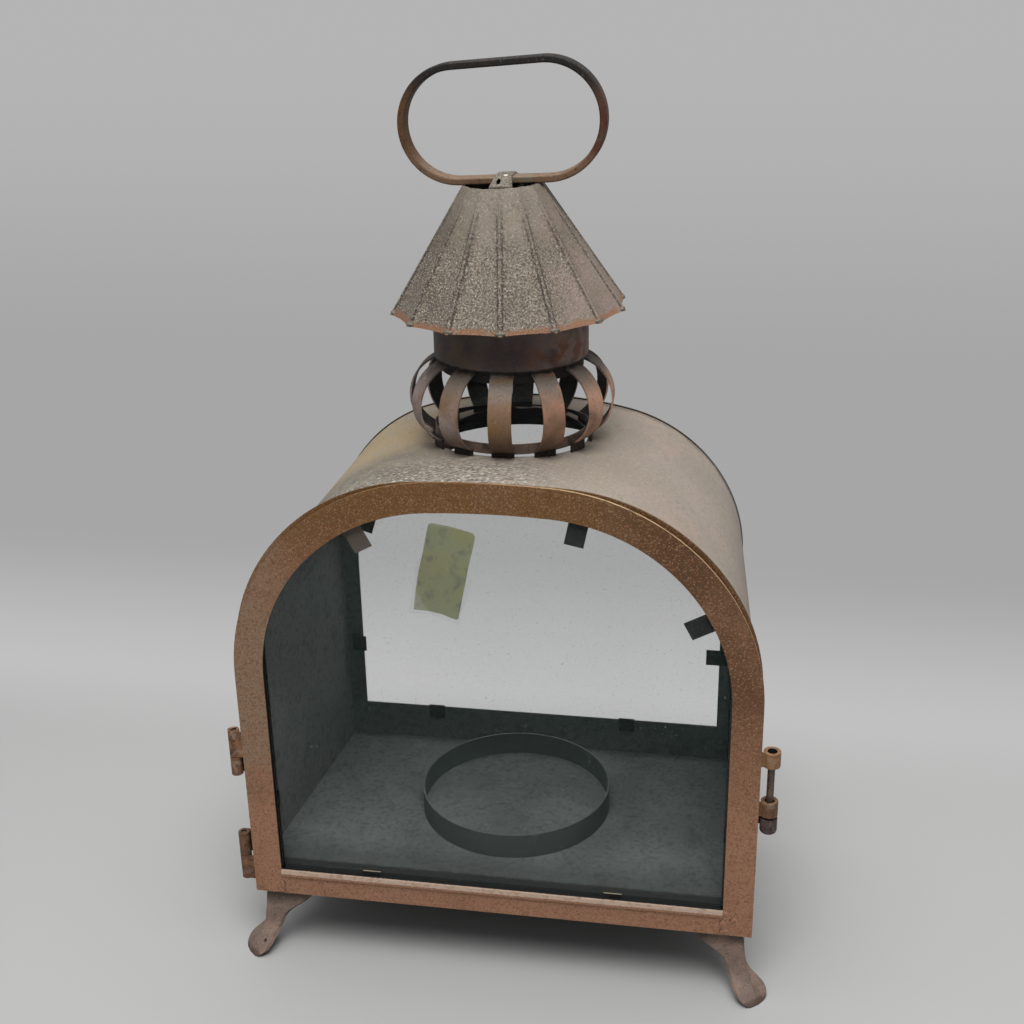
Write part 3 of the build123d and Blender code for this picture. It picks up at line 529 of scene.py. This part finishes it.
def ridgeField(tree, place, normal):
    # Distance from the nearest ridge line of the hat, along its surface
    foot = Vector(ridges["middle"]) * mm
    rise = Vector(ridges["top"]) * mm - foot
    offset = addNode(tree, "VectorMath", {0: place, 1: foot}, operation="SUBTRACT").outputs[0]
    parts = addNode(tree, "SeparateXYZ", {0: offset})
    sway = addNode(tree, "Math", {0: parts.outputs["Z"], 1: -rise.x / rise.z, 2: parts.outputs["X"]},
                   operation="MULTIPLY_ADD").outputs[0]
    back = addNode(tree, "Math", {0: parts.outputs["Y"], 1: -1.0}, operation="MULTIPLY").outputs[0]
    angle = addNode(tree, "Math", {0: sway, 1: back}, operation="ARCTAN2").outputs[0]
    step = 2 * math.pi / ridges["count"]
    first = math.radians(ridges["first"])
    turn = addNode(tree, "Math", {0: angle, 1: first}, operation="SUBTRACT").outputs[0]
    aside = addNode(tree, "Math", {0: turn, 1: step / 2}, operation="PINGPONG").outputs[0]
    flat = addNode(tree, "CombineXYZ", {0: sway, 1: back}).outputs[0]
    radius = addNode(tree, "VectorMath", {0: flat}, operation="LENGTH").outputs["Value"]
    return addNode(tree, "Math", {0: aside, 1: radius}, operation="MULTIPLY").outputs[0]


# Dark collar, heat-tarnished and partly painted shade from the hat above, olive on the left, rust low on
# the right, with a black painted shade line at its foot
collarFinish = {
    # Base darkened partly by tarnish, partly by painted shade under the hat
    "base": "#625352",
    "roughness": (0.5, 0.75),
    "metallic": 0.25,
    "inside": {"centre": (-1.8, 10.4, 0), "way": (1, 1, 0), "base": "#141211",
               "layers": [{"tint": "#211d1b", "size": 9, "cover": (0.45, 0.65)}]},
    "layers": [
        {"tint": "#524342", "size": 16, "cover": (0.4, 0.6)},
        {"tint": "#685846", "size": 14, "cover": (0.38, 0.6), "amount": 0.85,
         "zones": [((-1, 0, 0), -5, 25)]},
        {"tint": "#947b70", "size": 12, "cover": (0.3, 0.55), "amount": 0.85,
         "zones": [((1, 0, 0), 10, 30)]},
        {"tint": "#7d482b", "size": 9, "cover": (0.44, 0.56), "amount": 0.85,
         "zones": [((1, 0, 0), 5, 28), ((0, 0, -1), -358, -347)]},
        {"tint": "#5f5754", "size": 1.5, "cover": (0.56, 0.7), "amount": 0.5},
        # Painted shade: a black line along the collar's foot, where the strips go in under it
        {"tint": "#15110f", "size": 5, "cover": (0.1, 0.3), "amount": 0.9,
         "zones": [((0, 0, -1), -339.8, -339.2)]},
    ],
    "ragged": 1.5,
}

# Bowed strips: grey at the top, golden at the front, pink copper on the right, black inside, with painted
# shade under the collar and a black painted shadow at their feet
stripFinish = {
    "base": "#7f634b",
    "roughness": (0.5, 0.75),
    "metallic": 0.1,
    "depth": 0.15,
    "inside": {"centre": (-1.8, 10.4, 0), "way": (1, 1, 0), "base": "#262422",
               "layers": [{"tint": "#3a3733", "size": 9, "cover": (0.45, 0.65)}]},
    "layers": [
        {"tint": "#ad7f69", "size": 22, "cover": (0.3, 0.55), "zones": [((1, 0, 0), 8, 26)]},
        {"tint": "#c1967f", "size": 22, "cover": (0.3, 0.55), "zones": [((1, 0, 0), 32, 44)]},
        {"tint": "#a3918c", "size": 22, "cover": (0.3, 0.55), "zones": [((-1, 0, 0), 8, 30)]},
        {"tint": "#85682f", "size": 12, "cover": (0.4, 0.6), "amount": 0.7,
         "zones": [((-1, 0, 0), -12, 5), ((1, 0, 0), -20, -8), ((0, 0, 1), 304, 312)]},
        {"tint": "#75695e", "size": 10, "cover": (0.25, 0.45), "zones": [((0, 0, 1), 321, 334)]},
        {"tint": "#58473b", "size": 10, "cover": (0.3, 0.5), "amount": 0.85,
         "zones": [((0, 0, -1), -310, -297)]},
        # Painted shade: dark just under the collar, where the strips go in
        {"tint": "#2a221d", "size": 6, "cover": (0.1, 0.3), "amount": 0.9,
         "zones": [((0, 0, 1), 335.5, 338)]},
        # Painted shadow: black at the feet, standing for the contact shadow on the roof
        {"tint": "#15110f", "size": 6, "cover": (0.1, 0.3), "amount": 0.9,
         "zones": [((0, 0, -1), -297.4, -296.4)]},
        {"tint": "#5a3f2e", "size": 1.2, "cover": (0.55, 0.66), "amount": 0.4},
        {"tint": "#cbab92", "size": 0.9, "cover": (0.66, 0.74), "amount": 0.6},
    ],
    "ragged": 4,
}

# Foot ring, greyer than the strips and brown underneath
ringFinish = dict(collarFinish, base="#5f5048", layers=[
    {"tint": "#6d5a4e", "size": 14, "cover": (0.4, 0.6)},
    {"tint": "#3d322c", "size": 8, "cover": (0.5, 0.66), "amount": 0.8},
    {"tint": "#8a7768", "size": 1.5, "cover": (0.6, 0.7), "amount": 0.6},
])

# Legs: greige-pink paint, with painted shade at the top under the body and on faces that look down, and a
# nail hole on the left one painted as a dark spot of shade
legFinish = {
    "base": "#7d6a60",
    "roughness": (0.6, 0.85),
    "depth": 0.18,
    "layers": [
        {"tint": "#8f7668", "size": 16, "cover": (0.4, 0.62)},
        {"tint": "#6b5a50", "size": 9, "cover": (0.5, 0.68), "amount": 0.7},
        # Painted shade: darker at the top, under the body
        {"tint": "#4b3e36", "size": 14, "cover": (0.25, 0.5), "amount": 0.85,
         "zones": [((0, 0, 1), 28, 38)]},
        {"tint": "#473930", "size": 1.5, "cover": (0.57, 0.68), "amount": 0.6},
        {"tint": "#b29e90", "size": 1.2, "cover": (0.62, 0.72), "amount": 0.55},
        {"tint": "#4d3d33", "size": 7, "cover": (0.2, 0.45), "amount": 0.85,
         "zones": [((0, 0, -1), -3.5, -1.5)]},
        # Painted shade: dark on faces that look down
        {"tint": "#2e241d", "size": 7, "cover": (0.1, 0.3), "amount": 0.9,
         "facing": [((0, 0, -1), 0.25, 0.6)]},
    ],
    # The first spot is the nail hole, a painted dark spot of shade; the second is a darker mark low on the
    # same leg
    "spots": [((-128.5, -72.7, 32.4), 1.3, "#1d1714"), ((-136.2, -81.0, 8.1), 1.5, "#332821")],
    "ragged": 5,
}

# Handle: oiled strip, near black on top, brown at the ends, worn to pinkish copper along the lower run
handleFinish = {
    "base": "#533825",
    "roughness": (0.55, 0.8),
    "metallic": 0.1,
    "layers": [
        {"tint": "#583a1a", "size": 20, "cover": (0.3, 0.55), "zones": [((-1, 0, 0), 30, 50)]},
        {"tint": "#522416", "size": 20, "cover": (0.35, 0.6), "zones": [((1, 0, 0), 25, 40)]},
        {"tint": "#120f0c", "size": 18, "cover": (0.15, 0.4), "amount": 0.97,
         "zones": [((0, 0, 1), 466, 482)]},
        {"tint": "#715640", "size": 15, "cover": (0.2, 0.45), "amount": 0.95,
         "zones": [((0, 0, -1), -448, -436)]},
        {"tint": "#6d6551", "size": 8, "cover": (0.2, 0.4), "amount": 0.9,
         "zones": [((0, 0, -1), -440, -436), ((1, 0, 0), -1, 1), ((-1, 0, 0), -12, -10)]},
        {"tint": "#8b7361", "size": 15, "cover": (0.25, 0.5), "amount": 0.6,
         "zones": [((0, 0, -1), -446, -436)], "facing": [((0, 0, 1), 0.5, 0.9)]},
        {"tint": "#2a211b", "size": 2, "cover": (0.56, 0.68), "amount": 0.55},
        {"tint": "#8d7763", "size": 1.4, "cover": (0.64, 0.74), "amount": 0.5},
    ],
    "ragged": 6,
}

# Rusty barrels and leaves of the hinges, with near-black painted shade in their bores
hingeFinish = {
    "base": "#785740",
    "roughness": (0.6, 0.85),
    "metallic": 0.1,
    "depth": 0.2,
    "layers": [
        {"tint": "#946744", "size": 7, "cover": (0.42, 0.6)},
        {"tint": "#9a8776", "size": 5, "cover": (0.5, 0.64), "amount": 0.7},
        {"tint": "#54392b", "size": 4, "cover": (0.52, 0.66), "amount": 0.85},
        {"tint": "#2c1f18", "size": 1.3, "cover": (0.57, 0.68), "amount": 0.7, "relief": -0.5},
        {"tint": "#4b3124", "size": 8, "cover": (0.2, 0.45), "amount": 0.5,
         "zones": [((-1, 0, 0), 100, 120), ((0, 0, -1), -95, -80)]},
    ],
    # Painted shade: near black on the faces inside the bores
    "inside": {"centre": (-145.8, -73.6, 0), "way": (1, 1, 0), "base": "#17120f", "layers": []},
}

# The latch: orange rust on its eyes, paler on the upper one, painted shade in the bores, and a socket
# painted dark for the shade it sits in
latchInside = dict(hingeFinish["inside"], centre=(145.3, -73.6, 0))
latchFinish = dict(hingeFinish, base="#7d5534", inside=latchInside, layers=hingeFinish["layers"] + [
    {"tint": "#9c7a58", "size": 8, "cover": (0.2, 0.45), "amount": 0.45, "zones": [((0, 0, 1), 128, 138)]},
    {"tint": "#4f3626", "size": 8, "cover": (0.2, 0.45), "amount": 0.4,
     "zones": [((0, 0, -1), -132, -124)]},
])
# Painted shade: the socket painted dark for the shadow it sits in below the lower eye
socketFinish = dict(latchFinish, base="#4c3d39", layers=[
    {"tint": "#6a5451", "size": 5, "cover": (0.45, 0.62)},
    {"tint": "#2a211d", "size": 2, "cover": (0.52, 0.66), "amount": 0.8, "relief": -0.5},
])

# Bare steel pins, dull and brown
pinFinish = {
    "base": "#5a4e45",
    "roughness": (0.4, 0.65),
    "metallic": 0.5,
    "layers": [
        {"tint": "#6f5a4a", "size": 6, "cover": (0.45, 0.62)},
        {"tint": "#2c2622", "size": 2, "cover": (0.56, 0.7), "amount": 0.7},
    ],
}

# Old window glass, faintly green, with a thin film of soot and specks of dust
glassLook = {
    "tint": "#92b2a8",
    "film": (0.012, 0.026),  # least and most of the film's cover
    "foot": (58, 68),  # mm, wiped thin below this, over the rail
    "wiped": 0.2,  # share of the film left there
    "blackSides": (121.8, 122.6, 123.4),  # mm from the middle: the film blackens, then covers the glass
    "black": "#0d0c0b",
    "roughness": 0.12,
    "specular": 0.4,
    "filmSize": 60,  # mm
    "dust": [(1.0, (0.58, 0.7), 0.035), (1.3, (0.71, 0.77), 0.3)],  # size, noise levels, amount
}


def glassMaterial():
    material, tree = newMaterial("dustyGlass")
    place = addNode(tree, "TexCoord").outputs["Object"]
    scale = 1 / (glassLook["filmSize"] * mm)
    haze = addNode(tree, "TexNoise", {"Vector": place, "Scale": scale, "Detail": 4})
    low, high = glassLook["film"]
    film = addNode(tree, "MapRange", {"Value": haze.outputs["Fac"], 1: noiseLow, 2: noiseHigh, 3: low,
                                      4: high}).outputs[0]
    parts = addNode(tree, "SeparateXYZ", {0: place})
    low, high = (level * mm for level in glassLook["foot"])
    wiped = addNode(tree, "MapRange", {"Value": parts.outputs["Z"], 1: low, 2: high,
                                       3: glassLook["wiped"], 4: 1.0}).outputs[0]
    film = addNode(tree, "Math", {0: film, 1: wiped}, operation="MULTIPLY").outputs[0]
    for size, cover, amount in glassLook["dust"]:
        dust = addNode(tree, "TexNoise", {"Vector": place, "Scale": 1 / (size * mm), "Detail": 1.5})
        speck = addNode(tree, "MapRange", {"Value": dust.outputs["Fac"], 1: cover[0], 2: cover[1], 3: 0.0,
                                           4: amount}).outputs[0]
        film = addNode(tree, "Math", {0: film, 1: speck}, operation="ADD").outputs[0]
    aside = addNode(tree, "Math", {0: parts.outputs["X"]}, operation="ABSOLUTE").outputs[0]
    start, low, high = (distance * mm for distance in glassLook["blackSides"])
    black = addNode(tree, "MapRange", {"Value": aside, 1: start, 2: low}).outputs[0]
    colour = addNode(tree, "Mix", {0: black, 6: linear(glassLook["tint"]), 7: linear(glassLook["black"])},
                     data_type="RGBA").outputs[2]
    blackSides = addNode(tree, "MapRange", {"Value": aside, 1: low, 2: high}).outputs[0]
    cover = addNode(tree, "Math", {0: film, 1: blackSides}, operation="MAXIMUM").outputs[0]
    shader = addNode(tree, "BsdfPrincipled", {"Base Color": colour, "Alpha": cover,
                                              "Roughness": glassLook["roughness"],
                                              "Specular IOR Level": glassLook["specular"]})
    addNode(tree, "OutputMaterial", {"Surface": shader.outputs[0]})
    return material


outward = {"outward": outwardField}
door = tinFinish("copperPaintedTin", doorFinish, outward)
rail = tinFinish("copperPaintedRailTin", railFinish, outward)
rim = tinFinish("copperPaintedRimTin", rimFinish, outward)
roof = tinFinish("limewashedTin", roofFinish)
back = tinFinish("limewashedBackTin", backFinish, outward)
inner = tinFinish("sootedTin", innerFinish)
tab = tinFinish("backlitShadeTin", tabFinish)
hat = tinFinish("roughcastTin", hatFinish, {"ridge": ridgeField})
clip = tinFinish("roughcastClipTin", clipFinish)
collar = tinFinish("tarnishedAndShadedTin", collarFinish)
ring = tinFinish("tarnishedRingTin", ringFinish)
strip = tinFinish("heatedCopperTin", stripFinish)
leg = tinFinish("greigePaintedTin", legFinish)
handle = tinFinish("oiledSteelStrip", handleFinish)
hinge = tinFinish("rustyTin", hingeFinish)
latch = tinFinish("rustyLatchTin", latchFinish)
socket = tinFinish("shadeDarkenedSocketTin", socketFinish)
pin = tinFinish("dullSteelPin", pinFinish)
glass = glassMaterial()

wear(["door_arch_frame"], door)
wear(["door_bottom_rail"], rail)
wear(["front_rim"], rim)
wear(["body_wrap"], roof)
wear(["back_panel"], back)
wear(["floor_tray", "candle_pan"], inner)
wear(["door_glass_tabs", "back_glass_tabs"], tab)
wear(["hat_cone"], hat)
wear(["handle_clip"], clip)
wear(["chimney_collar", "chimney_top_ring"], collar)
wear(["chimney_foot_ring"], ring)
wear([name for name in nodes if name.startswith("chimney_strip")], strip)
wear([name for name in nodes if name.startswith("leg_")], leg)
wear(["handle_strap"], handle)
wear([name for name in nodes if "knuckle" in name], hinge)
wear(["latch_lower_eye", "latch_upper_eye"], latch)
wear(["latch_socket"], socket)
wear([name for name in nodes if name.endswith("_pin")], pin)
wear(["door_glass", "back_glass"], glass)
print("finishes on")

# Beads of metal where the hat's ridges end on its rim
beads = {
    "radius": 61.1,  # mm from the middle of the rim
    "rise": 0.9,
    "lean": 1.0,  # degrees
    "size": (2.8, 1.5, 1.3),  # half sizes along the rim, outward and up
}
beadFinish = {
    "base": "#6f6a60",
    "roughness": (0.5, 0.75),
    "metallic": 0.2,
    "layers": [
        {"tint": "#4a4139", "size": 3, "cover": (0.5, 0.65), "amount": 0.8},
        {"tint": "#8f887c", "size": 1.4, "cover": (0.58, 0.68), "amount": 0.7},
    ],
}


def addBeads():
    mesh = bmesh.new()
    out = Vector((0, -beads["radius"], beads["rise"])) * mm
    lean = Matrix.Rotation(-math.radians(beads["lean"]), 4, "Y")
    rim = Matrix.Translation(Vector(ridges["middle"]) * mm) @ lean
    for i in range(ridges["count"]):
        turn = math.radians(ridges["first"] + i * 360 / ridges["count"])
        place = rim @ Matrix.Rotation(turn, 4, "Z") @ Matrix.Translation(out)
        bead = bmesh.ops.create_icosphere(mesh, subdivisions=2, radius=mm)["verts"]
        bmesh.ops.transform(mesh, matrix=place @ Matrix.Diagonal((*beads["size"], 1)), verts=bead)
    addPiece("hatBeads", mesh, tinFinish("beadedTin", beadFinish), "frame")


addBeads()

# Bare paper label stuck to the inside of the back glass, torn off along its foot, and the gum left round it
label = {
    # mm, across and up
    "outline": [(-67.7, 206.6), (-66.8, 209.7), (-64.7, 210.9), (-55.3, 209.6), (-46.1, 207.5),
                (-38.9, 205.4), (-37.5, 203.3), (-38.0, 200.0), (-42.7, 180.7), (-49.9, 146.1),
                (-52.0, 145.6), (-60.7, 149.0), (-69.2, 150.6), (-78.6, 151.0), (-76.6, 165.5),
                (-73.9, 179.9), (-71.4, 189.1)],
    "gum": [(-73.1, 186.2), (-75.5, 184.3), (-77.0, 175.1), (-82.0, 148.4), (-68.3, 148.2), (-58.8, 144.9),
            (-49.5, 141.6), (-47.9, 150.0), (-44.4, 158.0), (-40.2, 173.4), (-42.8, 177.2)],
    "depth": (71.05, 71.25),  # label and gum, in front of the glass
    "thickness": 0.1,
}
labelLook = {
    "base": "#ebeeae",
    "clouds": [("#efeca0", 22, (0.45, 0.65)), ("#b4b784", 9, (0.52, 0.7))],  # tint, mm, noise levels
    "fibre": 1.2,  # mm
    "depth": 0.05,
    "cover": 0.67,
    "roughness": 0.85,
}
gumLook = {"tint": "#6d7370", "size": 7, "cover": (0.035, 0.07), "roughness": 0.6}


def labelMaterial():
    # Old uncoated paper, yellowed in clouds, with a fibrous grain in its bump, thin enough for the light
    # behind it
    material, tree = newMaterial("agedPaper")
    place = addNode(tree, "TexCoord").outputs["Object"]
    colour = linear(labelLook["base"])
    for tint, size, (low, high) in labelLook["clouds"]:
        cloud = addNode(tree, "TexNoise", {"Vector": place, "Scale": 1 / (size * mm), "Detail": 4})
        share = addNode(tree, "MapRange", {"Value": cloud.outputs["Fac"], 1: low, 2: high}).outputs[0]
        colour = addNode(tree, "Mix", {0: share, 6: colour, 7: linear(tint)}, data_type="RGBA").outputs[2]
    scale = 1 / (labelLook["fibre"] * mm)
    fibre = addNode(tree, "TexNoise", {"Vector": place, "Scale": scale, "Detail": 3})
    bump = addNode(tree, "Bump", {"Height": fibre.outputs["Fac"], "Strength": 0.6,
                                  "Distance": labelLook["depth"] * mm})
    shader = addNode(tree, "BsdfPrincipled", {"Base Color": colour, "Normal": bump.outputs[0],
                                              "Roughness": labelLook["roughness"],
                                              "Alpha": labelLook["cover"]})
    addNode(tree, "OutputMaterial", {"Surface": shader.outputs[0]})
    return material


def gumMaterial():
    # Dried gum on the glass, a thin grey smear
    material, tree = newMaterial("driedGum")
    place = addNode(tree, "TexCoord").outputs["Object"]
    smear = addNode(tree, "TexNoise", {"Vector": place, "Scale": 1 / (gumLook["size"] * mm), "Detail": 3})
    low, high = gumLook["cover"]
    cover = addNode(tree, "MapRange", {"Value": smear.outputs["Fac"], 1: noiseLow, 2: noiseHigh, 3: low,
                                       4: high}).outputs[0]
    shader = addNode(tree, "BsdfPrincipled", {"Base Color": linear(gumLook["tint"]), "Alpha": cover,
                                              "Roughness": gumLook["roughness"]})
    addNode(tree, "OutputMaterial", {"Surface": shader.outputs[0]})
    return material


def addSheet(name, outline, depth, material):
    mesh = bmesh.new()
    mesh.faces.new([mesh.verts.new((x * mm, depth * mm, z * mm)) for x, z in outline])
    bmesh.ops.solidify(mesh, geom=list(mesh.faces), thickness=label["thickness"] * mm)
    bmesh.ops.recalc_face_normals(mesh, faces=mesh.faces)
    addPiece(name, mesh, material, "frame", smooth=False)


addSheet("paperLabel", label["outline"], label["depth"][0], labelMaterial())
addSheet("labelGum", label["gum"], label["depth"][1], gumMaterial())

# Lumps of solder where the rail meets the stiles: place across and up, and half sizes, in mm
solder = {
    "face": -77.6,  # mm, front of the door
    "lumps": [(124.2, 54.2, 2.6, 1.9), (123.8, 47.5, 1.8, 3.0), (125.0, 42.8, 2.8, 1.6),
              (129.6, 50.5, 2.2, 1.7), (-124.0, 53.8, 1.7, 2.0), (-123.8, 46.0, 1.6, 3.2),
              (-124.6, 42.2, 2.6, 1.4)],
    "proud": 0.5,
}


def addSolder():
    mesh = bmesh.new()
    for x, z, halfWidth, halfHeight in solder["lumps"]:
        lump = bmesh.ops.create_icosphere(mesh, subdivisions=2, radius=mm)["verts"]
        place = Matrix.Translation((x * mm, solder["face"] * mm, z * mm))
        size = Matrix.Diagonal((halfWidth, solder["proud"], halfHeight, 1))
        bmesh.ops.transform(mesh, matrix=place @ size, verts=lump)
    addPiece("railSolder", mesh, door, "door")


addSolder()

# Lapped seam down the outside of the candle pan
panSeam = {
    "middle": (-3.0, 6.4),  # mm
    "radius": 56.0,
    "angle": 20.5,  # degrees, to the right of the front
    "low": 58.0,
    "high": 72.2,
    "width": 3.2,
    "sheet": 0.5,
    "bevel": 0.15,
}


def addPanSeam():
    mesh = bmesh.new()
    block = bmesh.ops.create_cube(mesh, size=mm)["verts"]
    height = panSeam["high"] - panSeam["low"]
    size = Matrix.Diagonal((panSeam["width"], panSeam["sheet"], height, 1))
    out = Matrix.Translation((0, -panSeam["radius"] * mm, (panSeam["low"] + height / 2) * mm))
    turn = Matrix.Rotation(math.radians(panSeam["angle"]), 4, "Z")
    place = Matrix.Translation((panSeam["middle"][0] * mm, panSeam["middle"][1] * mm, 0))
    bmesh.ops.transform(mesh, matrix=place @ turn @ out @ size, verts=block)
    bmesh.ops.bevel(mesh, geom=mesh.edges[:], offset=panSeam["bevel"] * mm, affect="EDGES", segments=2,
                    profile=0.5, material=-1)
    addPiece("panSeam", mesh, inner, "frame")


addPanSeam()
print("small pieces added")
